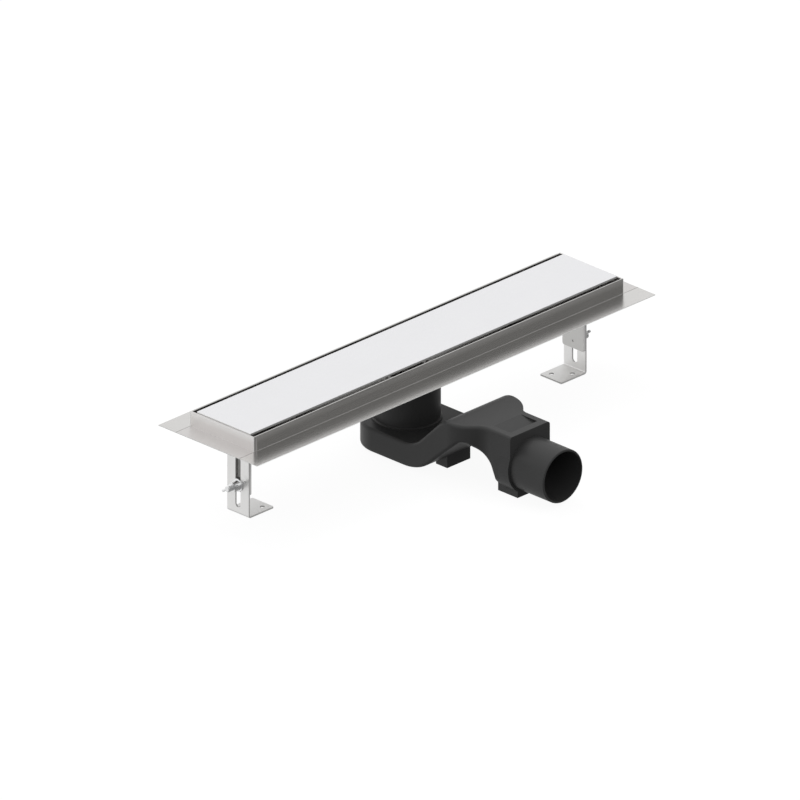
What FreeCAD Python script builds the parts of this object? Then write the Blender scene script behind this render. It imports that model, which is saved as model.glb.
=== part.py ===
import FreeCAD, Part
import math
import os

from FreeCAD import Vector

# Floor drain channel: a stainless channel with a flat cover, two height-adjustable legs
# and a low plastic trap under its middle.
# Millimetres. The origin is the middle of the cover's top face, which is the finished floor.
# +X runs along the channel, +Z is up, and the outlet pipe leaves towards -Y.

# Channel, seen from above
channel_length = 500.0
end_flange = 18.0
side_flange = 21.7
frame_width = 78.2
# Channel, seen in section
sheet = 0.7
frame_height = 14.5
flange_bend = 0.3
floor_bend = 2.0
floor_depth_end = 3.5
floor_depth_middle = 10.5
floor_flat_margin = 5.0
# Height of the flange above the ground, as the legs are set
set_height = 79.6

# Cover
cover_thickness = 2.0
cover_proud = 0.9
cover_edge = 0.4
cover_corner = 1.0
cover_end_gap = 0.4
drain_slot = 4.6
saddle_inset = 78.5
saddle_length = 20.0
saddle_side_gap = 5.5
saddle_foot = 9.0
saddle_sheet = 1.5
saddle_bend = 1.0
pad_thickness = 1.5
pad_margin = 1.0

# Drain spigot and strainer
spigot_outer_r = 25.0
spigot_wall = 1.5
spigot_length = 32.0
strainer_rim = 4.0
strainer_rim_thickness = 1.0
basket_gap = 2.0
basket_wall = 1.0
basket_depth = 18.0
basket_hole_r = 1.8
basket_ring_pitch = 6.6
basket_slot_width = 2.6
basket_slot_length = 9.0
basket_slot_count = 12
handle_wire_r = 1.2
handle_rise = 7.0
handle_bend = 4.0

# Inlet socket and seal
socket_bore_gap = 2.0
socket_wall = 3.0
socket_base_step = 1.4
socket_base_height = 1.8
socket_top_gap = 1.3
socket_insert_wall = 1.6
socket_insert_clearance = 0.1
socket_edge = 0.8
seal_seat_depth = 9.0
seal_seat_wall = 1.5
seal_height = 8.0
seal_clearance = 0.08
seal_lip = 1.2
seal_lip_drop = 1.3
seal_lip_land = 1.4
seal_lip_return = 0.5
seal_lip_pitch = 4.4

# Trap: outlet pipe and box
pipe_outer_r = 25.0
pipe_wall = 1.8
pipe_length = 40.6
pipe_edge = 1.0
collar_step = 2.6
collar_length = 12.8
box_above_pipe = 7.4
box_lift = 5.5
box_bottom_length = 17.5
box_length = 26.8
trap_wall = 2.5
trap_edge_r = 3.0
recess_half_width = 17.0
recess_length = 20.3
recess_front_margin = 7.8
recess_depth = 3.0
# Trap: tray and ramp
tray_margin = 10.0
tray_back_margin = 3.6
tray_corner_r = 31.0
tray_lift = 2.1
tray_height = 23.1
ramp_start = 47.7
ramp_angle = 45.0
ramp_foot_r = 28.0
ramp_head_r = 20.0
ramp_under_start = 53.9
ramp_under_angle = 42.0
ramp_under_r = 48.0
neck_length = 35.0
neck_outer_share = 0.68
# Trap: arch between ramp and box, from below
passage_height = 16.6
arch_flat = 5.0
arch_knee_run = 19.6
arch_knee_drop = 16.4
arch_foot_run = 8.3
arch_start_r = 6.5
arch_end_r = 6.5
arch_knee_r = 16.0
arch_foot_r = 5.0
# Trap: feet
foot_step = 1.5
front_foot_length = 24.2
front_foot_half_width = 15.5
rear_foot_start = 50.0
rear_foot_end = 64.0
rear_foot_half_width = 14.5

# Legs, hangers and fasteners
leg_inset = 38.0
leg_sheet = 1.5
leg_bend = 1.0
leg_width = 26.5
leg_rise = 59.0
toe_length = 31.6
toe_hole_r = 2.25
toe_hole_circle_r = 9.15
toe_hole_turn = 43.0
toe_hole_inset = 14.1
plate_corner = 1.2
slot_clearance = 0.2
slot_top_margin = 3.2
slot_bottom_margin = 7.0
slide_gap = 0.1
hanger_width = 26.1
hanger_sheet = 2.0
hanger_bend = 1.0
hanger_flange = 22.0
hanger_drop = 58.0
hanger_corner = 2.0
stud_r = 3.0
stud_margin = 7.2
stud_reach = 14.0
stud_head_step = 0.8
stud_head_depth = 0.8
stud_point = 0.8
washer_rim = 3.2
washer_thickness = 1.2
washer_clearance = 0.2
thread_clearance = 0.05
nut_length = 6.5
nut_base_wall = 2.0
nut_nose_wall = 1.2
wing_span = 30.0
wing_lobe_r = 3.2
wing_rise = 4.6
wing_thickness = 2.2
wing_edge = 0.6
wing_turn_right = -42.0
wing_turn_left = 32.0
wing_inset = 0.5

# Radii that follow from the sizes above
spigot_inner_r = spigot_outer_r - spigot_wall
strainer_rim_r = spigot_outer_r + strainer_rim
basket_outer_r = spigot_inner_r - basket_gap
socket_bore_r = spigot_outer_r + socket_bore_gap
socket_outer_r = socket_bore_r + socket_wall
socket_base_r = socket_outer_r + socket_base_step
insert_r = socket_bore_r + socket_insert_wall
seal_seat_r = socket_outer_r - seal_seat_wall
collar_r = pipe_outer_r + collar_step
slot_half_width = stud_r + slot_clearance
stud_head_r = stud_r + stud_head_step
washer_r = stud_r + washer_rim
nut_base_r = stud_r + nut_base_wall
nut_nose_r = stud_r + nut_nose_wall

# Levels that follow from the sizes above
rim_z = -cover_proud
flange_z = rim_z - frame_height
floor_end_z = flange_z - floor_depth_end
floor_middle_z = flange_z - floor_depth_middle
ground_z = flange_z - set_height
leg_top_z = ground_z + leg_rise
hanger_bottom_z = flange_z - hanger_drop
stud_z = hanger_bottom_z + stud_margin
pipe_z = ground_z + foot_step + collar_r
tray_bottom_z = ground_z + tray_lift
tray_top_z = tray_bottom_z + tray_height
box_top_z = pipe_z + pipe_outer_r + box_above_pipe
box_bottom_z = pipe_z - pipe_outer_r + box_lift
arch_z = box_top_z - passage_height
socket_top_z = floor_middle_z - sheet - socket_top_gap

# Places that follow from the sizes above
body_end = channel_length / 2 - end_flange
inner_end = body_end - 2 * sheet
wall_y = frame_width / 2
inner_y = wall_y - 2 * sheet
flange_y = wall_y + side_flange
cover_end = inner_end - cover_end_gap
cover_side = inner_y - drain_slot
saddle_x = cover_end - saddle_inset
saddle_side = inner_y - saddle_side_gap - saddle_foot
leg_outer_x = channel_length / 2 - leg_inset
hanger_x = leg_outer_x - leg_sheet - slide_gap
washer_x = leg_outer_x + slide_gap
nut_x = washer_x + washer_thickness
flat_end_x = hanger_x - hanger_flange - floor_flat_margin
flat_middle_x = strainer_rim_r + floor_flat_margin

# The trap's form along its length, as distances from the inlet's axis
tray_half_width = socket_base_r + tray_margin
tray_back = socket_base_r + tray_back_margin
box_half_width = pipe_outer_r
ramp_end = ramp_start + (box_top_z - tray_top_z) / math.tan(math.radians(ramp_angle))
under_slope = math.tan(math.radians(ramp_under_angle))
arch_start = ramp_under_start + (arch_z - tray_bottom_z) / under_slope
arch_end = arch_start + arch_flat
arch_knee = arch_end + arch_knee_run
arch_foot = arch_knee + arch_foot_run
box_front = arch_foot + box_bottom_length
neck_end = box_front - box_length
neck_start = neck_end - neck_length

AXES = {"x": Vector(1, 0, 0), "y": Vector(0, 1, 0), "z": Vector(0, 0, 1)}
IN_SPACE = {
    "x": lambda a, b, level: Vector(level, a, b),
    "y": lambda a, b, level: Vector(a, level, b),
    "z": lambda a, b, level: Vector(a, b, level),
}
TINY = 1e-6
# How far a cutting shape runs past the faces that it cuts
OVERRUN = 1.0


# Plane outlines with round corners

def round_corner(before, here, after, radius):
    """Start, middle and end of the arc that rounds one corner of an outline."""
    back = before - here
    ahead = after - here
    reach = min(back.Length, ahead.Length) / 2
    back.normalize()
    ahead.normalize()
    half = back.getAngle(ahead) / 2
    setback = min(radius / math.tan(half), reach)
    radius = setback * math.tan(half)
    inward = back + ahead
    inward.normalize()
    centre = here + inward * (radius / math.sin(half))
    return here + back * setback, centre - inward * radius, here + ahead * setback


def outline(axis, corners, level):
    """Closed wire across an axis, from corners (a, b) or (a, b, radius)."""
    flat = [Vector(corner[0], corner[1], 0) for corner in corners]
    edges = []
    stops = []
    for index, corner in enumerate(corners):
        radius = corner[2] if len(corner) > 2 else 0
        here = flat[index]
        if radius:
            arc = round_corner(flat[index - 1], here, flat[(index + 1) % len(flat)], radius)
        else:
            arc = (here, here, here)
        stops.append([IN_SPACE[axis](point.x, point.y, level) for point in arc])
    for index, (start, middle, end) in enumerate(stops):
        if (end - start).Length > TINY:
            edges.append(Part.Arc(start, middle, end).toShape())
        following = stops[(index + 1) % len(stops)][0]
        if (following - end).Length > TINY:
            edges.append(Part.LineSegment(end, following).toShape())
    return Part.Wire(edges)


def prism(axis, corners, low, high):
    """An outline across an axis, extruded from low to high along it."""
    return Part.Face(outline(axis, corners, low)).extrude(AXES[axis] * (high - low))


def box(x, y, z):
    """A box from three (low, high) pairs."""
    size = [pair[1] - pair[0] for pair in (x, y, z)]
    return Part.makeBox(size[0], size[1], size[2], Vector(x[0], y[0], z[0]))


def rod(radius, start, axis, length):
    """A round bar from a point along an axis name; a negative length runs backwards."""
    direction = AXES[axis] * math.copysign(1, length)
    return Part.makeCylinder(radius, abs(length), start, direction)


def folded_sheet(axis, path, thickness, bend, low, high):
    """A bent sheet. The path is its left face's bends, and the sheet lies to the right."""
    count = len(path)
    flat = [Vector(point[0], point[1], 0) for point in path]
    runs = [(flat[i + 1] - flat[i]).normalize() for i in range(count - 1)]
    rights = [Vector(run.y, -run.x, 0) for run in runs]
    near = [tuple(path[0])]
    far = [flat[0] + rights[0] * thickness]
    far_radii = [0]
    for i in range(1, count - 1):
        turns_left = runs[i - 1].x * runs[i].y - runs[i - 1].y * runs[i].x > 0
        bisector = (rights[i - 1] + rights[i]).normalize()
        reach = thickness / bisector.dot(rights[i])
        near.append((flat[i].x, flat[i].y, bend if turns_left else bend + thickness))
        far.append(flat[i] + bisector * reach)
        far_radii.append(bend + thickness if turns_left else bend)
    near.append(tuple(path[-1]))
    far.append(flat[-1] + rights[-1] * thickness)
    far_radii.append(0)
    back = [(point.x, point.y, radius) for point, radius in zip(far, far_radii)]
    return prism(axis, near + back[::-1], low, high)


def revolved(profile, x=0.0, y=0.0):
    """A closed (radius, height) profile turned round an upright line."""
    points = [Vector(x + radius, y, height) for radius, height in profile]
    face = Part.Face(Part.makePolygon(points + points[:1]))
    return face.revolve(Vector(x, y, 0), AXES["z"], 360)


def joined(shapes):
    """Several overlapping or touching solids made into one."""
    return shapes[0].fuse(shapes[1:]).removeSplitter()


def turned(shape, angle, centre=Vector(0, 0, 0), axis="z"):
    """A copy of a shape, turned about an axis through a point."""
    copy = shape.copy()
    copy.rotate(centre, AXES[axis], angle)
    return copy


def mirrored_y(shape):
    """The shape's mirror image across the XZ plane."""
    return shape.mirror(Vector(0, 0, 0), AXES["y"])


def edges_where(shape, test):
    """The edges whose every sampled point passes a test."""
    chosen = []
    for edge in shape.Edges:
        points = edge.discretize(5)
        if all(test(point) for point in points):
            chosen.append(edge)
    return chosen


# Channel

def floor_run():
    """The floor's half profile along X: (x, height of its top) from the middle outwards."""
    return [
        (0.0, floor_middle_z),
        (flat_middle_x, floor_middle_z),
        (flat_end_x, floor_end_z),
        (inner_end, floor_end_z),
    ]


def gutter_section(x, floor_z):
    """The U-shaped sheet at one place along the channel, walls reaching above the flange."""
    top = floor_z + (flange_z - floor_middle_z) + floor_bend
    outer = inner_y + sheet
    return outline("x", [
        (-outer, floor_z - sheet, floor_bend + sheet),
        (outer, floor_z - sheet, floor_bend + sheet),
        (outer, top),
        (inner_y, top),
        (inner_y, floor_z, floor_bend),
        (-inner_y, floor_z, floor_bend),
        (-inner_y, top),
        (-outer, top),
    ], x)


def gutter():
    """Floor and lower walls: straight and sloping runs, each a sheared prism."""
    parts = []
    stations = floor_run()
    for (x0, z0), (x1, z1) in zip(stations, stations[1:]):
        section = Part.Face(gutter_section(x0, z0))
        run = section.extrude(Vector(x1 - x0, 0, z1 - z0))
        parts.append(run)
        parts.append(run.mirror(Vector(0, 0, 0), AXES["x"]))
    return parts


def side_wall():
    """One long wall: flange, bend, double wall with its folded rim."""
    base = flange_z - sheet
    return prism("x", [
        (flange_y, flange_z),
        (wall_y, flange_z, flange_bend),
        (wall_y, rim_z, sheet),
        (inner_y, rim_z, sheet),
        (inner_y, base),
        (flange_y, base),
    ], -body_end, body_end)


def flange_strip_end():
    """The part of a side flange that runs on past the body."""
    return box((body_end, channel_length / 2), (wall_y, flange_y), (flange_z - sheet, flange_z))


def mitre_region():
    """The plan of the right end cap, with its corners cut at the mitres."""
    end = channel_length / 2
    corners = [
        (inner_end, -inner_y), (body_end, -wall_y), (end, -wall_y),
        (end, wall_y), (body_end, wall_y), (inner_end, inner_y),
    ]
    return prism("z", corners, floor_end_z - 2 * sheet, 0)


def channel_trough():
    strip = flange_strip_end()
    strips = [strip, strip.mirror(Vector(0, 0, 0), AXES["x"])]
    side = joined([side_wall()] + strips)
    mitre = mitre_region()
    walls = [side, mirrored_y(side)]
    shell = joined(walls + gutter())
    shell = shell.cut([mitre, turned(mitre, 180)])
    drain = rod(spigot_outer_r, Vector(0, 0, floor_middle_z - 2 * sheet), "z", 3 * sheet)
    return shell.cut(drain).removeSplitter()


def end_cap():
    """The right end cap: end flange, bend, double wall, and its inner sheet down to the floor."""
    end = channel_length / 2
    base = flange_z - sheet
    profile = [
        (end, flange_z),
        (body_end, flange_z, flange_bend),
        (body_end, rim_z, sheet),
        (inner_end, rim_z, sheet),
        (inner_end, floor_end_z - sheet),
        (inner_end + sheet, floor_end_z - sheet),
        (inner_end + sheet, base),
        (end, base),
    ]
    return prism("y", profile, -wall_y, wall_y).common(mitre_region())


# Cover

def cover_plate():
    plan = [
        (cover_end, cover_side, cover_corner),
        (-cover_end, cover_side, cover_corner),
        (-cover_end, -cover_side, cover_corner),
        (cover_end, -cover_side, cover_corner),
    ]
    plate = prism("z", plan, -cover_thickness, 0)
    top = edges_where(plate, lambda point: abs(point.z) < TINY)
    return plate.makeFillet(min(cover_edge, cover_thickness / 3), top)


def floor_height(x):
    """Height of the floor's top at a distance from the middle."""
    stations = floor_run()
    for (x0, z0), (x1, z1) in zip(stations, stations[1:]):
        if x <= x1:
            return z0 + (z1 - z0) * (x - x0) / (x1 - x0)
    return floor_end_z


def saddle_foot_z():
    """Underside of a saddle's feet, a pad's thickness above the floor's high side there."""
    return floor_height(saddle_x + saddle_length / 2) + pad_thickness


def cover_saddle():
    """The right saddle: a hat-shaped strip, its crown under the cover."""
    foot = saddle_foot_z() + saddle_sheet
    path = [
        (-saddle_side - saddle_foot, foot),
        (-saddle_side, foot),
        (-saddle_side, -cover_thickness),
        (saddle_side, -cover_thickness),
        (saddle_side, foot),
        (saddle_side + saddle_foot, foot),
    ]
    low = saddle_x - saddle_length / 2
    return folded_sheet("x", path, saddle_sheet, saddle_bend, low, low + saddle_length)


def cover_pads():
    """The right saddle's two pads, their undersides following the sloping floor."""
    reach = saddle_length / 2 - pad_margin
    x = (saddle_x - reach, saddle_x + reach)
    y = (saddle_side + saddle_bend, saddle_side + saddle_foot)
    z = (floor_middle_z, saddle_foot_z())
    block = box(x, y, z)
    under = [(x[0], floor_middle_z), (x[0], floor_height(x[0])),
             (x[1], floor_height(x[1])), (x[1], floor_middle_z)]
    pad = block.cut(prism("y", under, 0, wall_y))
    return Part.makeCompound([pad, mirrored_y(pad)])


# Drain spigot and strainer

def drain_spigot():
    bottom = floor_middle_z - spigot_length
    return revolved([(spigot_inner_r, floor_middle_z), (spigot_outer_r, floor_middle_z),
                     (spigot_outer_r, bottom), (spigot_inner_r, bottom)])


def strainer_basket():
    top = floor_middle_z + strainer_rim_thickness
    bottom = floor_middle_z - basket_depth
    inner = basket_outer_r - basket_wall
    shell = revolved([
        (strainer_rim_r, top), (strainer_rim_r, floor_middle_z),
        (basket_outer_r, floor_middle_z), (basket_outer_r, bottom),
        (0, bottom), (0, bottom + basket_wall),
        (inner, bottom + basket_wall), (inner, top),
    ])
    return shell.cut(basket_holes(bottom) + basket_slots(bottom))


def basket_holes(bottom):
    """Round holes in the basket's bottom: one in the middle, then rings of 6 and 12."""
    low = Vector(0, 0, bottom - basket_wall)
    drill = rod(basket_hole_r, low, "z", 3 * basket_wall)
    holes = [drill]
    for ring in (1, 2):
        for step in range(6 * ring):
            hole = drill.copy()
            hole.translate(Vector(ring * basket_ring_pitch, 0, 0))
            holes.append(turned(hole, step * 60.0 / ring))
    return holes


def basket_slots(bottom):
    """Upright slots round the basket's wall."""
    middle = bottom + basket_depth / 2
    half = basket_slot_width / 2
    low = middle - basket_slot_length / 2
    high = middle + basket_slot_length / 2
    corners = [(-half, low, half), (half, low, half), (half, high, half), (-half, high, half)]
    slot = prism("x", corners, basket_outer_r - 2 * basket_wall, basket_outer_r + basket_wall)
    return [turned(slot, step * 360.0 / basket_slot_count) for step in range(basket_slot_count)]


def strainer_handle():
    """A bent wire across the basket's mouth, standing on its rim."""
    foot = floor_middle_z + strainer_rim_thickness
    reach = (basket_outer_r + strainer_rim_r) / 2
    top = foot + handle_rise
    corners = [Vector(-reach, 0, foot), Vector(-reach, 0, top),
               Vector(reach, 0, top), Vector(reach, 0, foot)]
    first = round_corner(corners[0], corners[1], corners[2], handle_bend)
    second = round_corner(corners[1], corners[2], corners[3], handle_bend)
    path = Part.Wire([
        Part.LineSegment(corners[0], first[0]).toShape(),
        Part.Arc(*first).toShape(),
        Part.LineSegment(first[2], second[0]).toShape(),
        Part.Arc(*second).toShape(),
        Part.LineSegment(second[2], corners[3]).toShape(),
    ])
    circle = Part.Wire(Part.makeCircle(handle_wire_r, corners[0], AXES["z"]))
    return path.makePipeShell([circle], True, True)


# Trap

def side_profile():
    """The trap seen from +X, as (distance, z, radius) corners: over the top, then back below."""
    corners = [
        (-tray_back, tray_top_z, 0),
        (ramp_start, tray_top_z, ramp_foot_r),
        (ramp_end, box_top_z, ramp_head_r),
        (box_front, box_top_z, 0),
        (box_front, box_bottom_z, 0),
        (arch_foot, box_bottom_z, arch_foot_r),
        (arch_knee, arch_z - arch_knee_drop, arch_knee_r),
        (arch_end, arch_z, arch_end_r),
        (arch_start, arch_z, arch_start_r),
        (ramp_under_start, tray_bottom_z, ramp_under_r),
        (-tray_back, tray_bottom_z, 0),
    ]
    return [(-along, height, radius) for along, height, radius in corners]


def neck_points():
    """One side of the neck, from the tray to the box: the ends and middles of its two arcs."""
    offset = tray_half_width - box_half_width
    half_turn = math.atan2(offset, neck_length)
    both_r = neck_length / math.sin(2 * half_turn)
    outer_r = both_r * neck_outer_share
    inner_r = both_r - outer_r
    bulge = 1 - math.cos(half_turn)
    lead = math.sin(half_turn)
    return [
        (tray_half_width, -neck_start),
        (tray_half_width - outer_r * bulge, -neck_start - outer_r * lead),
        (tray_half_width - offset * neck_outer_share, -neck_start - neck_length * neck_outer_share),
        (box_half_width + inner_r * bulge, -neck_end + inner_r * lead),
        (box_half_width, -neck_end),
    ]


def plan_outline(level):
    """The trap seen from above: rounded back, straight sides, S-shaped necks, narrow front."""
    back_x = tray_half_width - tray_corner_r
    back_y = tray_back - tray_corner_r
    reach = tray_corner_r * math.cos(math.radians(45))
    half = [(back_x, tray_back), (back_x + reach, back_y + reach), (tray_half_width, back_y)]
    half += neck_points() + [(box_half_width, -box_front)]
    right = [Vector(x, y, level) for x, y in half]
    left = [Vector(-x, y, level) for x, y in half]
    edges = []
    for side in (right, left):
        edges += [
            Part.Arc(side[0], side[1], side[2]).toShape(),
            Part.LineSegment(side[2], side[3]).toShape(),
            Part.Arc(side[3], side[4], side[5]).toShape(),
            Part.Arc(side[5], side[6], side[7]).toShape(),
            Part.LineSegment(side[7], side[8]).toShape(),
        ]
    edges.append(Part.LineSegment(right[0], left[0]).toShape())
    edges.append(Part.LineSegment(right[8], left[8]).toShape())
    return Part.Wire(Part.__sortEdges__(edges))


def trap_envelope(inset):
    """The trap's main form, shrunk by an inset on every side."""
    side = outline("x", side_profile(), -tray_half_width)
    plan = plan_outline(ground_z)
    if inset:
        side = side.makeOffset2D(-inset)
        plan = plan.makeOffset2D(-inset)
    sideways = Part.Face(side).extrude(Vector(2 * tray_half_width, 0, 0))
    upright = Part.Face(plan).extrude(Vector(0, 0, box_top_z - ground_z))
    return sideways.common(upright)


def lies_along(edge, axis):
    """Whether an edge's two ends lie on one line along an axis."""
    ends = [vertex.Point for vertex in edge.Vertexes]
    return len(ends) == 2 and (ends[0] - ends[1]).cross(AXES[axis]).Length < TINY


def soft_edges(shape):
    """The trap's form with the long edges between its sides and its top and bottom rounded."""
    edges = []
    for edge in shape.Edges:
        place = edge.CenterOfMass.y
        across = lies_along(edge, "x") and place < tray_back - TINY
        if place > -box_front + TINY and not lies_along(edge, "z") and not across:
            edges.append(edge)
    return shape.makeFillet(trap_edge_r, edges)


def box_corners(radius):
    """What the box loses below: all that lies outside a circle about the pipe's axis."""
    half = collar_r + OVERRUN
    along = (-box_front - OVERRUN, -arch_knee)
    block = box((-half, half), along, (ground_z, pipe_z))
    return block.cut(rod(radius, Vector(0, along[0], pipe_z), "y", along[1] - along[0]))


def collar():
    """The round thickening behind the outlet pipe."""
    return rod(collar_r, Vector(0, -box_front, pipe_z), "y", collar_length)


def outlet_pipe():
    """The outlet pipe as a solid bar, its end's edge rounded."""
    length = collar_length + pipe_length
    tip = -box_front - pipe_length
    bar = rod(pipe_outer_r, Vector(0, tip, pipe_z), "y", length)
    rim = edges_where(bar, lambda point: abs(point.y - tip) < TINY)
    return bar.makeFillet(pipe_edge, rim)


def front_foot():
    """The solid foot under the box, up into its floor."""
    return box((-front_foot_half_width, front_foot_half_width),
               (-box_front, -box_front + front_foot_length),
               (ground_z, box_bottom_z + trap_wall))


def rear_foot():
    """The solid foot under the ramp, up into its floor."""
    under = tray_bottom_z + under_slope * (rear_foot_end - ramp_under_start)
    return box((-rear_foot_half_width, rear_foot_half_width),
               (-rear_foot_end, -rear_foot_start), (ground_z, under + trap_wall))


def recess():
    """The shallow wedge cut in the box's top, deepest at its front."""
    front = recess_front_margin - box_front
    back = front + recess_length
    corners = [(back, box_top_z), (front, box_top_z - recess_depth),
               (front, box_top_z + OVERRUN), (back, box_top_z + OVERRUN)]
    return prism("x", corners, -recess_half_width, recess_half_width)


def recess_backing():
    """The solid that stays under and round the recess."""
    side = recess_half_width + trap_wall
    front = recess_front_margin - box_front
    return box((-side, side), (front - trap_wall, front + recess_length + trap_wall),
               (box_top_z - recess_depth - trap_wall, box_top_z))


def trap_cavity():
    """What the body is cut by: waterway with the base's space, pipe bore, socket's hole."""
    form = trap_envelope(trap_wall)
    hollow = form.cut([recess_backing(), box_corners(collar_r - trap_wall)])
    tip = -box_front - pipe_length
    bore_length = pipe_length + collar_length - trap_wall
    bore = rod(pipe_outer_r - pipe_wall, Vector(0, tip - OVERRUN, pipe_z), "y",
               bore_length + OVERRUN)
    inlet = rod(insert_r + socket_insert_clearance, Vector(0, 0, tray_top_z - 2 * trap_wall),
                "z", 3 * trap_wall)
    return [hollow.fuse(base_space()), bore, inlet]


def base_space():
    """The space below the waterway between the side walls, from the back to the front foot."""
    plan = plan_outline(ground_z).makeOffset2D(-trap_wall)
    between = Part.Face(plan).extrude(Vector(0, 0, box_top_z - ground_z))
    across = (-tray_half_width, tray_half_width)
    along = (front_foot_length - box_front, tray_back)
    region = between.common(box(across, along, (ground_z, box_top_z)))
    parts = region.cut(trap_envelope(trap_wall))
    return min(parts.Solids, key=lambda part: part.CenterOfMass.z)


def trap_base():
    """The plate that closes the trap from below between its side walls, with the rear foot."""
    return base_space().common(joined([trap_envelope(0), rear_foot()])).removeSplitter()


def trap_body():
    """The upper moulding: side walls, top, box with its floor and front foot, and the pipe."""
    form = soft_edges(trap_envelope(0)).cut(box_corners(collar_r))
    whole = joined([form, collar(), outlet_pipe(), front_foot()])
    return whole.cut(trap_cavity() + [recess()]).removeSplitter()


def inlet_socket():
    """The upright socket: seal seat at its mouth, ring at its base, end in the trap's top."""
    return revolved([
        (seal_seat_r, socket_top_z), (socket_outer_r - socket_edge, socket_top_z),
        (socket_outer_r, socket_top_z - socket_edge),
        (socket_outer_r, tray_top_z + socket_base_height),
        (socket_base_r, tray_top_z + socket_base_height / 2),
        (socket_base_r, tray_top_z),
        (insert_r, tray_top_z), (insert_r, tray_top_z - trap_wall),
        (socket_bore_r, tray_top_z - trap_wall),
        (socket_bore_r, socket_top_z - seal_seat_depth),
        (seal_seat_r, socket_top_z - seal_seat_depth),
    ])


def seal_lip_profile(top):
    """One lip of the seal: down and in to the spigot, along it, and back."""
    tip = spigot_outer_r + seal_clearance
    back = tip + seal_lip
    meets = top - seal_lip_drop
    leaves = meets - seal_lip_land
    return [(back, top), (tip, meets), (tip, leaves), (back, leaves - seal_lip_return)]


def inlet_seal():
    """A rubber ring with two lips against the spigot."""
    low = socket_top_z - seal_seat_depth
    high = low + seal_height
    lips = seal_lip_profile(high) + seal_lip_profile(high - seal_lip_pitch)
    inner = lips[-1][0]
    return revolved([(seal_seat_r, high)] + lips + [(inner, low), (seal_seat_r, low)])


# Legs, hangers and fasteners

def rounded_plate_cutter(x, half_width, level, direction, radius):
    """Two corner pieces that round a plate's end in the YZ plane."""
    pieces = []
    for side in (1, -1):
        edge = side * half_width
        inner = edge - side * radius
        start = level + direction * radius
        block = box((x[0], x[1]), sorted((edge, inner)), sorted((level, start)))
        pin = rod(radius, Vector(x[0], inner, start), "x", x[1] - x[0])
        pieces.append(block.cut(pin))
    return pieces


def leg():
    """The right leg: an L-shaped strip with an upright slot and two holes in its toe."""
    half = leg_width / 2
    path = [(leg_outer_x, leg_top_z), (leg_outer_x, ground_z),
            (leg_outer_x - toe_length, ground_z)]
    strip = folded_sheet("y", path, leg_sheet, leg_bend, -half, half)
    across = (leg_outer_x - leg_sheet - OVERRUN, leg_outer_x + OVERRUN)
    corners = rounded_plate_cutter(across, half, leg_top_z, -1, plate_corner)
    return strip.cut(corners + [leg_slot(across)] + toe_holes() + toe_corners())


def leg_slot(across):
    """The upright slot that the stud runs in."""
    half = slot_half_width
    low = ground_z + slot_bottom_margin
    high = leg_top_z - slot_top_margin
    corners = [(-half, low, half), (half, low, half), (half, high, half), (-half, high, half)]
    return prism("x", corners, across[0], across[1])


def toe_holes():
    """Two holes across a slanting line in the toe."""
    centre = Vector(leg_outer_x - toe_length + toe_hole_inset, 0, ground_z - OVERRUN)
    holes = []
    for side in (0, 180):
        place = centre + Vector(toe_hole_circle_r, 0, 0)
        hole = rod(toe_hole_r, place, "z", leg_sheet + 2 * OVERRUN)
        holes.append(turned(hole, side - toe_hole_turn, centre))
    return holes


def toe_corners():
    """Corner pieces that round the toe's free end in plan."""
    end = leg_outer_x - toe_length
    low = ground_z - OVERRUN
    high = ground_z + leg_sheet + OVERRUN
    pieces = []
    for side in (1, -1):
        edge = side * leg_width / 2
        inner = edge - side * plate_corner
        block = box((end, end + plate_corner), sorted((edge, inner)), (low, high))
        pin = rod(plate_corner, Vector(end + plate_corner, inner, low), "z", high - low)
        pieces.append(block.cut(pin))
    return pieces


def leg_hanger():
    """The right hanger: flange under the channel's floor, tab hanging beside the leg."""
    half = hanger_width / 2
    top = floor_end_z - sheet
    path = [(hanger_x - hanger_flange, top), (hanger_x, top), (hanger_x, hanger_bottom_z)]
    strip = folded_sheet("y", path, hanger_sheet, hanger_bend, -half, half)
    across = (hanger_x - hanger_sheet - OVERRUN, hanger_x + OVERRUN)
    corners = rounded_plate_cutter(across, half, hanger_bottom_z, 1, hanger_corner)
    start = Vector(across[0], 0, stud_z)
    hole = rod(stud_r, start, "x", across[1] - across[0])
    seat = rod(stud_head_r, start, "x", OVERRUN + stud_head_depth)
    return strip.cut(corners + [hole, seat])


def stud():
    """The right stud: flush head in the hanger, shank out through the leg's slot."""
    inner = hanger_x - hanger_sheet
    start = Vector(inner, 0, stud_z)
    head = rod(stud_head_r, start, "x", stud_head_depth)
    length = leg_outer_x + stud_reach - inner
    shank = rod(stud_r, start, "x", length - stud_point)
    point = Part.makeCone(stud_r, stud_r - stud_point, stud_point,
                          start + Vector(length - stud_point, 0, 0), AXES["x"])
    return joined([head, shank, point])


def washer():
    start = Vector(washer_x, 0, stud_z)
    disc = rod(washer_r, start, "x", washer_thickness)
    return disc.cut(rod(stud_r + washer_clearance, start, "x", washer_thickness))


def wing():
    """One wing of the nut, upright above the stud: hub side below, round lobe at its tip."""
    lobe_y = wing_span / 2 - wing_lobe_r
    lobe_x = nut_x + wing_rise
    hub_y = nut_nose_r / 2
    corners = [
        (nut_x + wing_inset, hub_y), (nut_x + nut_length - wing_inset, hub_y),
        (lobe_x + wing_lobe_r, lobe_y, wing_lobe_r),
        (lobe_x + wing_lobe_r / 2, lobe_y + wing_lobe_r, wing_lobe_r),
        (lobe_x - wing_lobe_r / 2, lobe_y + wing_lobe_r, wing_lobe_r),
        (lobe_x - wing_lobe_r, lobe_y, wing_lobe_r),
    ]
    half = wing_thickness / 2
    blade = prism("z", corners, stud_z - half, stud_z + half)
    outer = edges_where(blade, lambda point: point.y > hub_y + TINY)
    return blade.makeFillet(wing_edge, outer)


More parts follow.
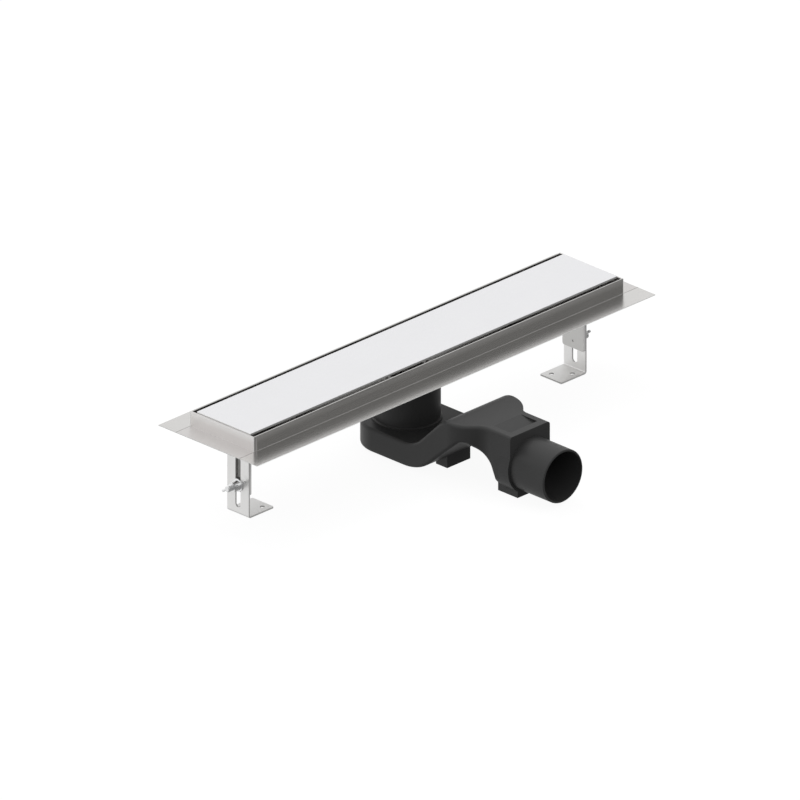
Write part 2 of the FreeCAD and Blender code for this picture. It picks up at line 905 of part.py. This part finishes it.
def wing_nut(turn):
    """The right wing nut, its wings turned off the level."""
    start = Vector(nut_x, 0, stud_z)
    hub = Part.makeCone(nut_base_r, nut_nose_r, nut_length, start, AXES["x"])
    blade = wing()
    nut = joined([hub, blade, turned(blade, 180, start, "x")])
    bore = rod(stud_r + thread_clearance, start, "x", nut_length + wing_rise)
    return turned(nut.cut(bore), turn, start, "x")


# Nodes

def pair(name, shape):
    """A right-hand piece and the same piece turned half round to the left."""
    return {name + "_right": shape, name + "_left": turned(shape, 180)}


def nodes():
    parts = {
        "channel_trough": channel_trough(),
        "cover_plate": cover_plate(),
        "drain_spigot": drain_spigot(),
        "strainer_basket": strainer_basket(),
        "strainer_handle": strainer_handle(),
        "trap_body": trap_body(),
        "trap_base": trap_base(),
        "inlet_socket": inlet_socket(),
        "inlet_seal": inlet_seal(),
    }
    parts.update(pair("end_cap", end_cap()))
    parts.update(pair("cover_saddle", cover_saddle()))
    parts.update(pair("cover_pads", cover_pads()))
    parts.update(pair("leg", leg()))
    parts.update(pair("leg_hanger", leg_hanger()))
    parts.update(pair("stud", stud()))
    parts.update(pair("washer", washer()))
    parts["wing_nut_right"] = wing_nut(wing_turn_right)
    parts["wing_nut_left"] = turned(wing_nut(wing_turn_left), 180)
    return parts


def main():
    os.makedirs("parts", exist_ok=True)
    for name, shape in nodes().items():
        solids = len(shape.Solids)
        print(name, "solids", solids, "valid", shape.isValid(), "mm3", round(shape.Volume, 1))
        shape.exportStep(os.path.join("parts", name + ".step"))


main()
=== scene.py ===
import math

import bpy
from mathutils import Euler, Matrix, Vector


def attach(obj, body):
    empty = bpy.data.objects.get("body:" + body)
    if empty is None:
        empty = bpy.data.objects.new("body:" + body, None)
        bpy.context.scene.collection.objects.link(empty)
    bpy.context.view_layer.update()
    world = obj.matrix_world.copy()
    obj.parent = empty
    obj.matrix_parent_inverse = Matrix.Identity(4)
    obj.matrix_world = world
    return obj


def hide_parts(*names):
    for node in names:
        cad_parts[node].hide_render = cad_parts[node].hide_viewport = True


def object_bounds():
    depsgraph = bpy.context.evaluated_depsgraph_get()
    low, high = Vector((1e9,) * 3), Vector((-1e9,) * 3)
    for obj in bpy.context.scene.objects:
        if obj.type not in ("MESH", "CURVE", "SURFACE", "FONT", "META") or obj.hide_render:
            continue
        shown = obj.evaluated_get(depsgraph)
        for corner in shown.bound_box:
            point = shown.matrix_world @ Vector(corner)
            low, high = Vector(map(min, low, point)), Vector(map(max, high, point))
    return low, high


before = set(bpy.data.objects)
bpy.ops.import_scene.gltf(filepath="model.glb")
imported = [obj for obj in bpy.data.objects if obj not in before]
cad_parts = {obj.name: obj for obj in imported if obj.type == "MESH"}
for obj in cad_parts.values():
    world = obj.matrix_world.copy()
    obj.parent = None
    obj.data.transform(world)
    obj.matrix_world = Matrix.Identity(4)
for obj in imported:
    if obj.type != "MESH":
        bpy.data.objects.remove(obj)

# Floor drain channel: finishes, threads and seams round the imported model, with its studio.
# Metres, in the model's own frame: +X along the channel, +Z up, the outlet towards -Y.

MM = 0.001
cad_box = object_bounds()

# Camera, with the view's middle measured along its own axes
CAMERA_AZIMUTH = math.radians(-45.5)
CAMERA_ELEVATION = math.radians(25.0)
CAMERA_DISTANCE = 2.0
VIEW_WIDTH = 0.7037
VIEW_RIGHT = -0.00607
VIEW_UP = -0.0494

# Studio
FLOOR_SIZE = 30.0
FLOOR_COLOUR = 0.1
FLOOR_GLOW = 0.93
BACKDROP_DROP = 1.0
BACKDROP_SIZE = 200.0
BRIGHT_SIDE = (-0.185, 0.77, 0.61)
SKY_DIM = 0.2
SKY_BRIGHT = 0.95
SKY_DIM_UNDER = -0.75
SKY_BRIGHT_OVER = 0.9
LAMPS = {
    "overhead": {"place": (0.15, 0.75, 1.35), "size": 1.1, "power": 8.0},
    "fill": {"place": (0.1, -1.3, 0.45), "size": 1.2, "power": 6.0},
}

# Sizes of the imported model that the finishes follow
TINY = 0.01 * MM
BODY_END = 232.0 * MM
FLANGE_END = 250.0 * MM
WALL_Y = 39.1 * MM
INNER_Y = 37.7 * MM
FLANGE_Y = 60.8 * MM
RIM_Z = -0.9 * MM
FLANGE_Z = -15.4 * MM
TOE_START = 205.0 * MM
TOE_Z = -93.0 * MM
SOCKET_FOOT_Z = -69.9 * MM
STUD_Z = -66.2 * MM
STUD_START = 208.4 * MM
STUD_END = 226.0 * MM
THREAD_START = 210.4 * MM

# Walls, paler along the rim: a painted highlight
RIM_HIGHLIGHT_FADE = 7.0 * MM
BEND_REACH = 1.0 * MM

# How squarely a face faces along an axis: 1 is straight along it
SQUARE = 0.99
NEARLY_SQUARE = 0.9
PARTLY_FACING = 0.5
JUST_FACING = 0.1

# Textures: noise scales, the parts of a noise value in use, and relief depths
STREAK_SCALE = 900
SHEAR_SCALE = 1400
CLOUD_SCALE = 22
MOULD_CLOUD_SCALE = 30
NOISE_LOW = 0.3
NOISE_HIGH = 0.7
STEEL_ROUGHNESS_SWING = 0.06
PLASTIC_ROUGHNESS_SWING = 0.1
SHEAR_SHADE = 0.94
TEAR_RELIEF = 0.1
PLASTIC_SHADE = 0.85
STREAK_DEPTH = 0.01 * MM
MOULD_DEPTH = 0.02 * MM

# Grain: the noise's stretch along each axis
ALONG_X = (0.01, 1, 1)
ALONG_Y = (1, 0.01, 1)
ALONG_Z = (1, 1, 0.01)
NO_GRAIN = (1, 1, 1)

# Studs: an M6 thread
STUD_RADIUS = 3.0 * MM
STUD_HEAD_RADIUS = 3.8 * MM
STUD_HEAD_DEPTH = 0.8 * MM
DIMPLE_RADIUS = 1.1 * MM
DIMPLE_DEPTH = 0.4 * MM
THREAD_PITCH = 1.0 * MM
THREAD_DEPTH = 0.6 * MM
THREAD_SIDES = 40
THREAD_ROWS_PER_TURN = 12
THREAD_CREST = 0.125
THREAD_ROOT = 0.25
POINT_RADIUS = 2.2 * MM
SHARP_EDGE = math.radians(35)

# Seams of the end caps
SEAM_WIDTH = 0.8 * MM
SEAM_RISE = 0.1 * MM
SEAM_RIPPLE = 0.7 * MM
SEAM_WAVE = 0.15
SEAM_SINK = 0.03 * MM
SEAM_STATIONS = 64
SEAM_POINTS = 6
CORNER_INSET = 0.25 * MM
CORNER_RADIUS = 0.36 * MM
CORNER_POINTS = 12
CORNER_START = math.radians(-45)
CORNER_SWEEP = math.radians(180)
GROUND_WIDTH = 2.7 * MM
GROUND_EDGE = 1.1 * MM
GROUND_RISE = 0.06 * MM


# Materials

def new_material(name, colour, metallic, roughness):
    """A material with one Principled shader, its node tree and that shader."""
    material = bpy.data.materials.new(name)
    material.use_nodes = True
    shader = material.node_tree.nodes["Principled BSDF"]
    shader.inputs["Base Color"].default_value = (*colour, 1)
    shader.inputs["Metallic"].default_value = metallic
    shader.inputs["Roughness"].default_value = roughness
    return material, material.node_tree, shader


def noise(tree, scale, detail, stretch=NO_GRAIN):
    """Noise in the object's own coordinates, stretched along its grain."""
    place = tree.nodes.new("ShaderNodeTexCoord")
    mapping = tree.nodes.new("ShaderNodeMapping")
    mapping.inputs["Scale"].default_value = stretch
    texture = tree.nodes.new("ShaderNodeTexNoise")
    texture.inputs["Scale"].default_value = scale
    texture.inputs["Detail"].default_value = detail
    tree.links.new(place.outputs["Object"], mapping.inputs["Vector"])
    tree.links.new(mapping.outputs["Vector"], texture.inputs["Vector"])
    return texture.outputs["Fac"]


def spread(tree, value, low, high):
    """A noise value mapped to a range."""
    ranged = tree.nodes.new("ShaderNodeMapRange")
    ranged.inputs["From Min"].default_value = NOISE_LOW
    ranged.inputs["From Max"].default_value = NOISE_HIGH
    ranged.inputs["To Min"].default_value = low
    ranged.inputs["To Max"].default_value = high
    tree.links.new(value, ranged.inputs["Value"])
    return ranged.outputs["Result"]


def vary_roughness(tree, shader, value, roughness, swing):
    """The shader's roughness swings by a share of itself with a noise value."""
    ranged = spread(tree, value, roughness * (1 - swing), roughness * (1 + swing))
    tree.links.new(ranged, shader.inputs["Roughness"])


def vary_colour(tree, shader, value, colour, shade):
    """The shader's colour runs from a shade of itself to the full one with a noise value."""
    mix = tree.nodes.new("ShaderNodeMix")
    mix.data_type = "RGBA"
    mix.inputs["A"].default_value = (*[part * shade for part in colour], 1)
    mix.inputs["B"].default_value = (*colour, 1)
    tree.links.new(spread(tree, value, 0, 1), mix.inputs["Factor"])
    tree.links.new(mix.outputs["Result"], shader.inputs["Base Color"])


def bump(tree, shader, value, strength, depth):
    """The shader's surface relief from a noise value."""
    relief = tree.nodes.new("ShaderNodeBump")
    relief.inputs["Strength"].default_value = strength
    relief.inputs["Distance"].default_value = depth
    tree.links.new(value, relief.inputs["Height"])
    tree.links.new(relief.outputs["Normal"], shader.inputs["Normal"])


def steel(name, colour, roughness, grain, shade=0.97, relief=0.02):
    """Brushed or rolled steel."""
    material, tree, shader = new_material(name, colour, 1.0, roughness)
    streaks = noise(tree, STREAK_SCALE, 3, grain)
    clouds = noise(tree, CLOUD_SCALE, 2)
    vary_roughness(tree, shader, streaks, roughness, STEEL_ROUGHNESS_SWING)
    vary_colour(tree, shader, clouds, colour, shade)
    bump(tree, shader, streaks, relief, STREAK_DEPTH)
    return material


def plastic(name, colour, roughness, specular, grain_scale, relief):
    """Moulded plastic or rubber with a fine eroded texture."""
    material, tree, shader = new_material(name, colour, 0.0, roughness)
    shader.inputs["Specular IOR Level"].default_value = specular
    grain = noise(tree, grain_scale, 2)
    clouds = noise(tree, MOULD_CLOUD_SCALE, 3)
    vary_roughness(tree, shader, clouds, roughness, PLASTIC_ROUGHNESS_SWING)
    vary_colour(tree, shader, clouds, colour, PLASTIC_SHADE)
    bump(tree, shader, grain, relief, MOULD_DEPTH)
    return material


def sheared_steel(name, colour, roughness):
    """A bare sheared edge, torn and matt."""
    material, tree, shader = new_material(name, colour, 0.0, roughness)
    tears = noise(tree, SHEAR_SCALE, 3)
    vary_colour(tree, shader, tears, colour, SHEAR_SHADE)
    bump(tree, shader, tears, TEAR_RELIEF, STREAK_DEPTH)
    return material


def wall_steel(name, colour, rim_highlight_colour, roughness, grain):
    """Brushed steel that is paler along the rim, as a painted highlight."""
    material = steel(name, colour, roughness, grain)
    tree = material.node_tree
    base = tree.nodes["Principled BSDF"].inputs["Base Color"]
    place = tree.nodes.new("ShaderNodeTexCoord")
    parts = tree.nodes.new("ShaderNodeSeparateXYZ")
    level = tree.nodes.new("ShaderNodeMapRange")
    mix = tree.nodes.new("ShaderNodeMix")
    level.inputs["From Min"].default_value = RIM_Z - RIM_HIGHLIGHT_FADE
    level.inputs["From Max"].default_value = RIM_Z
    mix.data_type = "RGBA"
    mix.inputs["B"].default_value = (*rim_highlight_colour, 1)
    tree.links.new(place.outputs["Object"], parts.inputs["Vector"])
    tree.links.new(parts.outputs["Z"], level.inputs["Value"])
    tree.links.new(level.outputs["Result"], mix.inputs["Factor"])
    tree.links.new(base.links[0].from_socket, mix.inputs["A"])
    tree.links.new(mix.outputs["Result"], base)
    return material


def materials():
    """The finishes by name."""
    return {
        "stainless": steel("stainless_brushed", (0.74, 0.73, 0.715), 0.24, ALONG_X),
        # The long walls and the gutter floor: a darker copy of the trough's steel, painted shade
        "wall": wall_steel("stainless_wall_painted_shade", (0.49, 0.482, 0.47), (0.76, 0.75, 0.735),
                           0.24, ALONG_X),
        "end_cap": steel("stainless_brushed_across", (0.74, 0.722, 0.712), 0.34, ALONG_Y),
        # The end walls: a paler copy of the end cap's steel, painted light, with a painted
        # highlight along the rim
        "end_wall": wall_steel("stainless_end_wall_painted_light", (0.84, 0.82, 0.81), (0.94, 0.93, 0.92),
                               0.34, ALONG_Y),
        # The bend at the foot of the end walls: a darker copy, painted shade in the crease
        "end_bend": steel("stainless_end_bend_painted_shade", (0.66, 0.645, 0.635), 0.34, ALONG_Y),
        # Bare sheared edges, made pale so that they stand out bright: partly a painted highlight
        "edge": sheared_steel("sheared_edge_painted_highlight", (0.9, 0.895, 0.885), 0.6),
        # The cover's long sides: a dark copy of the sheared edge, painted shade in the slots
        "skirt": sheared_steel("cover_skirt_painted_shade", (0.4, 0.398, 0.39), 0.5),
        "cover": steel("cover_satin", (0.965, 0.965, 0.98), 0.5, ALONG_X, 0.99),
        "leg": steel("leg_strip", (0.975, 0.97, 0.96), 0.42, ALONG_Z),
        # The toe tops: a darker copy of the leg's steel, painted shade
        "leg_toe": steel("leg_toe_painted_shade", (0.84, 0.835, 0.825), 0.42, ALONG_X),
        "leg_edge": sheared_steel("leg_cut_edge", (0.62, 0.615, 0.605), 0.6),
        # The hangers: darker steel than the legs, painted shade under the channel
        "hanger": steel("hanger_strip_painted_shade", (0.68, 0.675, 0.66), 0.42, ALONG_Z),
        # The hanger's outer face behind the leg's slot: painted shade
        "hanger_face": steel("hanger_face_painted_shade", (0.28, 0.278, 0.27), 0.45, ALONG_Z),
        "zinc": steel("bright_zinc", (0.98, 0.985, 0.99), 0.2, NO_GRAIN, 0.98),
        "weld": steel("weld_bead", (0.34, 0.33, 0.32), 0.4, NO_GRAIN, 0.9, 0.1),
        "ground": steel("ground_corner", (0.64, 0.63, 0.62), 0.3, ALONG_Z, 0.95, 0.05),
        "ground_edge": steel("ground_corner_edge", (0.86, 0.85, 0.84), 0.3, ALONG_Z, 0.95, 0.05),
        "trap": plastic("trap_plastic", (0.042, 0.042, 0.042), 0.4, 0.26, 2600, 0.08),
        # The socket's foot: a lighter copy of the trap plastic, a painted highlight
        "trap_edge": plastic("trap_edge_painted_highlight", (0.11, 0.11, 0.11), 0.4, 0.3, 2600, 0.08),
        "seal": plastic("seal_rubber", (0.025, 0.025, 0.025), 0.5, 0.35, 1800, 0.1),
        "pad": plastic("pad_rubber", (0.04, 0.04, 0.04), 0.75, 0.3, 1500, 0.25),
    }


NODE_FINISHES = {
    "channel_trough": "stainless",
    "end_cap": "end_cap",
    "cover_plate": "cover",
    "cover_saddle": "stainless",
    "cover_pads": "pad",
    "drain_spigot": "stainless",
    "strainer_basket": "stainless",
    "strainer_handle": "stainless",
    "leg_hanger": "hanger",
    "leg": "leg",
    "stud": "zinc",
    "washer": "zinc",
    "wing_nut": "zinc",
    "trap_body": "trap",
    "trap_base": "trap",
    "inlet_socket": "trap",
    "inlet_seal": "seal",
}


def stem(node):
    """A node's name without its side."""
    for tail in ("_left", "_right"):
        if node.endswith(tail):
            return node[:-len(tail)]
    return node


# Faces with a finish of their own, told by a face's middle and the way it faces

def at_flange_edge(place, facing):
    return abs(place.x) > FLANGE_END - TINY or abs(place.y) > FLANGE_Y - TINY


# The long walls, inside and out, take the darker wall steel: painted shade
def at_long_wall(place, facing):
    from_outside = abs(abs(place.y) - WALL_Y)
    from_inside = abs(abs(place.y) - INNER_Y)
    return abs(facing.y) > SQUARE and min(from_outside, from_inside) < TINY


# The gutter floor under the cover takes the darker wall steel: painted shade
def at_gutter_floor(place, facing):
    return facing.z > NEARLY_SQUARE and abs(place.y) < INNER_Y and place.z < FLANGE_Z


# The end walls take the paler end wall steel: painted light
def at_end_wall(place, facing):
    return abs(facing.x) > SQUARE and abs(abs(place.x) - BODY_END) < TINY


# The bend at the foot of an end wall takes darker steel: painted shade
def at_end_bend(place, facing):
    beyond = abs(place.x) - BODY_END
    return TINY < beyond < BEND_REACH and FLANGE_Z + TINY < place.z < FLANGE_Z + BEND_REACH


# The cover's ends take the pale edge finish: a painted highlight
def at_cover_end(place, facing):
    return abs(facing.x) > PARTLY_FACING


# The faces of the socket's foot take the lighter plastic: a painted highlight
def at_socket_foot(place, facing):
    return facing.z > PARTLY_FACING and place.z < SOCKET_FOOT_Z


def at_strip_edge(place, facing):
    return abs(facing.y) > NEARLY_SQUARE


def at_cut_edge(place, facing):
    at_toe_end = abs(facing.x) > PARTLY_FACING and abs(place.x) < TOE_START
    return abs(facing.y) > JUST_FACING or at_toe_end


# The toe tops take the darker toe steel: painted shade
def at_toe_top(place, facing):
    return facing.z > NEARLY_SQUARE and place.z < TOE_Z


# The hanger's outer face, seen through the leg's slot, takes painted shade
def at_slot_shade_face(place, facing):
    return facing.x * place.x > 0 and abs(facing.x) > NEARLY_SQUARE


FACE_FINISHES = {
    # Trough: flange edges pale as a painted highlight, long walls and gutter floor darker as
    # painted shade
    "channel_trough": [("edge", at_flange_edge), ("wall", at_long_wall),
                       ("wall", at_gutter_floor)],
    # End cap: edges pale and end walls paler as painted light, bends darker as painted shade
    "end_cap": [("edge", at_flange_edge), ("end_wall", at_end_wall), ("end_bend", at_end_bend)],
    # Cover: long sides darker as painted shade, ends pale as a painted highlight
    "cover_plate": [("skirt", at_strip_edge), ("edge", at_cover_end)],
    # Leg: toe tops darker as painted shade
    "leg": [("leg_edge", at_cut_edge), ("leg_toe", at_toe_top)],
    # Hanger: edges pale as a painted highlight, outer face dark as painted shade
    "leg_hanger": [("edge", at_strip_edge), ("hanger_face", at_slot_shade_face)],
    # Socket: foot lighter as a painted highlight
    "inlet_socket": [("trap_edge", at_socket_foot)],
}


def finish_faces(node, number, test):
    """The faces that pass a test take another of the node's materials."""
    place = node.matrix_world
    turn = place.to_3x3()
    for face in node.data.polygons:
        if test(place @ face.center, (turn @ face.normal).normalized()):
            face.material_index = number


def finish_nodes(finishes):
    """Every node of the model gets its material, and some of its faces another."""
    for name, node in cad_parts.items():
        node.data.materials.clear()
        node.data.materials.append(finishes[NODE_FINISHES[stem(name)]])
        for number, (finish, test) in enumerate(FACE_FINISHES.get(stem(name), []), 1):
            node.data.materials.append(finishes[finish])
            finish_faces(node, number, test)


# Meshes

def make_piece(name, points, faces, material, body):
    """A mesh piece that rides on a body, smooth between its sharp edges."""
    mesh = bpy.data.meshes.new(name)
    mesh.from_pydata(points, [], faces)
    mesh.validate()
    mesh.materials.append(material)
    mesh.set_sharp_from_angle(angle=SHARP_EDGE)
    piece = bpy.data.objects.new(name, mesh)
    bpy.context.scene.collection.objects.link(piece)
    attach(piece, body)
    return piece


def ring(radius, x):
    """A circle about a stud's axis, as points."""
    angles = [2 * math.pi * side / THREAD_SIDES for side in range(THREAD_SIDES)]
    return [(x, radius * math.cos(a), STUD_Z + radius * math.sin(a)) for a in angles]


def thread_height(turns):
    """Height of the thread's form above its root, from 0 to 1, at a place in turns."""
    place = turns % 1
    slope = (1 - THREAD_CREST - THREAD_ROOT) / 2
    from_crest = abs(place - 0.5) - THREAD_CREST / 2
    return max(0.0, min(1.0, 1 - from_crest / slope))


def thread_ring(x):
    """The threaded shank's outline at one place, its point chamfered."""
    points = []
    for side in range(THREAD_SIDES):
        angle = 2 * math.pi * side / THREAD_SIDES
        turns = (x - THREAD_START) / THREAD_PITCH - side / THREAD_SIDES
        radius = STUD_RADIUS - THREAD_DEPTH * (1 - thread_height(turns))
        radius = min(radius, POINT_RADIUS + STUD_END - x)
        points.append((x, radius * math.cos(angle), STUD_Z + radius * math.sin(angle)))
    return points


def tube_faces(rings, sides):
    """The faces between one ring of points and the next, and both end caps."""
    faces = [tuple(reversed(range(sides)))]
    for row in range(rings - 1):
        for side in range(sides):
            following = (side + 1) % sides
            low, high = row * sides, (row + 1) * sides
            faces.append((low + side, low + following, high + following, high + side))
    last = (rings - 1) * sides
    faces.append(tuple(range(last, last + sides)))
    return faces


def half_turned(points):
    """Points turned half round about the middle's upright axis."""
    return [(-x, -y, z) for x, y, z in points]


def studs(finishes):
    """Both studs with their threads, in place of the plain ones."""
    head_end = STUD_START + STUD_HEAD_DEPTH
    rings = [ring(DIMPLE_RADIUS, STUD_START + DIMPLE_DEPTH), ring(DIMPLE_RADIUS, STUD_START),
             ring(STUD_HEAD_RADIUS, STUD_START), ring(STUD_HEAD_RADIUS, head_end),
             ring(STUD_RADIUS, head_end), ring(STUD_RADIUS, THREAD_START)]
    step = THREAD_PITCH / THREAD_ROWS_PER_TURN
    rows = round((STUD_END - THREAD_START) / step)
    rings += [thread_ring(THREAD_START + step * row) for row in range(1, rows + 1)]
    points = [point for one in rings for point in one]
    faces = tube_faces(len(rings), THREAD_SIDES)
    for side, places in (("right", points), ("left", half_turned(points))):
        piece = make_piece("threaded_stud_" + side, places, faces,
                           finishes["zinc"], "channel")
        # The head and its dimple take the hanger's darker steel, with its painted shade
        piece.data.materials.append(finishes["hanger"])
        for face in piece.data.polygons:
            if abs(face.center.x) < STUD_START + DIMPLE_DEPTH + TINY:
                face.material_index = 1
        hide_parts("stud_" + side)


def grid_faces(rows, columns):
    """The faces of a grid of points."""
    faces = []
    for row in range(rows - 1):
        for column in range(columns - 1):
            first = row * columns + column
            faces.append((first, first + 1, first + columns + 1, first + columns))
    return faces


def flange_seam(side_x, side_y):
    """The bead along the joint of an end cap's flange and a side flange."""
    points = []
    for station in range(SEAM_STATIONS):
        x = BODY_END + (FLANGE_END - BODY_END) * station / (SEAM_STATIONS - 1)
        wave = 1 - SEAM_WAVE + SEAM_WAVE * math.sin(2 * math.pi * x / SEAM_RIPPLE)
        for column in range(SEAM_POINTS):
            across = 2 * column / (SEAM_POINTS - 1) - 1
            height = SEAM_RISE * wave * (1 - across * across) - SEAM_SINK
            place = (side_x * x, side_y * WALL_Y + across * SEAM_WIDTH / 2, FLANGE_Z + height)
            points.append(place)
    return points


def corner_seam(side_x, side_y):
    """The dressed bead up a corner of the walls."""
    low = FLANGE_Z
    high = RIM_Z - CORNER_RADIUS
    points = []
    for station in range(SEAM_STATIONS):
        z = low + (high - low) * station / (SEAM_STATIONS - 1)
        for column in range(CORNER_POINTS):
            angle = CORNER_START + CORNER_SWEEP * column / (CORNER_POINTS - 1)
            x = BODY_END - CORNER_INSET + CORNER_RADIUS * math.cos(angle)
            y = WALL_Y - CORNER_INSET + CORNER_RADIUS * math.sin(angle)
            points.append((side_x * x, side_y * y, z))
    return points


def ground_strip(side, start, width):
    """A band up the long wall beside a corner, ground flat, at a distance from that corner."""
    top = RIM_Z - CORNER_RADIUS
    near = BODY_END - CORNER_INSET - start
    proud = WALL_Y + GROUND_RISE
    plan = [(near, WALL_Y), (near, proud), (near - width, proud), (near - width, WALL_Y)]
    return [(side * x, side * y, z) for z in (FLANGE_Z, top) for x, y in plan]


def ground_corners(finishes):
    """The ground bands and their brighter edges, at two opposite corners."""
    faces = [(0, 1, 5, 4), (1, 2, 6, 5), (2, 3, 7, 6), (4, 5, 6, 7)]
    for side, place in ((-1, "front_left"), (1, "back_right")):
        make_piece("ground_band_" + place, ground_strip(side, 0, GROUND_WIDTH), faces,
                   finishes["ground"], "channel")
        make_piece("ground_edge_" + place, ground_strip(side, GROUND_WIDTH, GROUND_EDGE), faces,
                   finishes["ground_edge"], "channel")


def seams(finishes):
    """The welded seams of both end caps, at each of the four corners."""
    flange_faces = grid_faces(SEAM_STATIONS, SEAM_POINTS)
    corner_faces = grid_faces(SEAM_STATIONS, CORNER_POINTS)
    for side_x, end in ((1, "right"), (-1, "left")):
        for side_y, place in ((-1, "front"), (1, "back")):
            name = place + "_" + end
            make_piece("flange_seam_" + name, flange_seam(side_x, side_y), flange_faces,
                       finishes["weld"], "channel")
            # The corner beads take the pale edge finish: a painted highlight
            make_piece("corner_seam_" + name, corner_seam(side_x, side_y), corner_faces,
                       finishes["edge"], "channel")


# Studio

def world_light():
    """Soft light from all round, bright behind the object and dim in front of it."""
    world = bpy.data.worlds.new("studio")
    bpy.context.scene.world = world
    world.use_nodes = True
    tree = world.node_tree
    place = tree.nodes.new("ShaderNodeTexCoord")
    towards = tree.nodes.new("ShaderNodeVectorMath")
    towards.operation = "DOT_PRODUCT"
    towards.inputs[1].default_value = Vector(BRIGHT_SIDE).normalized()
    level = tree.nodes.new("ShaderNodeMapRange")
    level.interpolation_type = "SMOOTHSTEP"
    level.inputs["From Min"].default_value = SKY_DIM_UNDER
    level.inputs["From Max"].default_value = SKY_BRIGHT_OVER
    level.inputs["To Min"].default_value = SKY_DIM
    level.inputs["To Max"].default_value = SKY_BRIGHT
    background = tree.nodes["Background"]
    background.inputs["Color"].default_value = (1, 1, 1, 1)
    tree.links.new(place.outputs["Generated"], towards.inputs[0])
    tree.links.new(towards.outputs["Value"], level.inputs["Value"])
    tree.links.new(level.outputs["Result"], background.inputs["Strength"])


def lamp(name, place, size, power):
    """A large soft lamp that faces the object, seen by neither the camera nor the steel."""
    light = bpy.data.lights.new(name, "AREA")
    light.shape = "SQUARE"
    light.size = size
    light.energy = power
    holder = bpy.data.objects.new(name, light)
    holder.location = place
    holder.rotation_euler = Vector(place).to_track_quat("Z", "Y").to_euler()
    holder.visible_camera = False
    holder.visible_glossy = False
    bpy.context.scene.collection.objects.link(holder)


def level_plane(name, level, size, colour, glow):
    """A plain level plane of the stage. It lights nothing, and the steel doesn't mirror it."""
    half = size / 2
    outline = [(-half, -half), (half, -half), (half, half), (-half, half)]
    mesh = bpy.data.meshes.new(name)
    mesh.from_pydata([(x, y, level) for x, y in outline], [], [(0, 1, 2, 3)])
    material, _, shader = new_material(name, (colour,) * 3, 0.0, 1.0)
    shader.inputs["Specular IOR Level"].default_value = 0.0
    shader.inputs["Emission Color"].default_value = (1, 1, 1, 1)
    shader.inputs["Emission Strength"].default_value = glow
    material.cycles.emission_sampling = "NONE"
    mesh.materials.append(material)
    plane = bpy.data.objects.new(name, mesh)
    plane.visible_diffuse = False
    plane.visible_glossy = False
    bpy.context.scene.collection.objects.link(plane)


def studio():
    """The lights, a floor that takes the shadow, and a backdrop that low views see."""
    world_light()
    for name, values in LAMPS.items():
        lamp(name, **values)
    ground = cad_box[0].z
    level_plane("floor", ground - TINY, FLOOR_SIZE, FLOOR_COLOUR, FLOOR_GLOW)
    level_plane("backdrop", ground - BACKDROP_DROP, BACKDROP_SIZE, 0.0, 1.0)
    bpy.context.scene.view_settings.view_transform = "Standard"


def camera():
    """A parallel view from the front left, above."""
    turn = Euler((math.pi / 2 - CAMERA_ELEVATION, 0, CAMERA_AZIMUTH))
    axes = turn.to_matrix()
    middle = axes @ Vector((VIEW_RIGHT, VIEW_UP, CAMERA_DISTANCE))
    data = bpy.data.cameras.new("camera")
    data.type = "ORTHO"
    data.ortho_scale = VIEW_WIDTH
    holder = bpy.data.objects.new("camera", data)
    holder.location = middle
    holder.rotation_euler = turn
    bpy.context.scene.collection.objects.link(holder)
    bpy.context.scene.camera = holder


def main():
    finishes = materials()
    finish_nodes(finishes)
    studs(finishes)
    seams(finishes)
    ground_corners(finishes)
    studio()
    camera()


main()
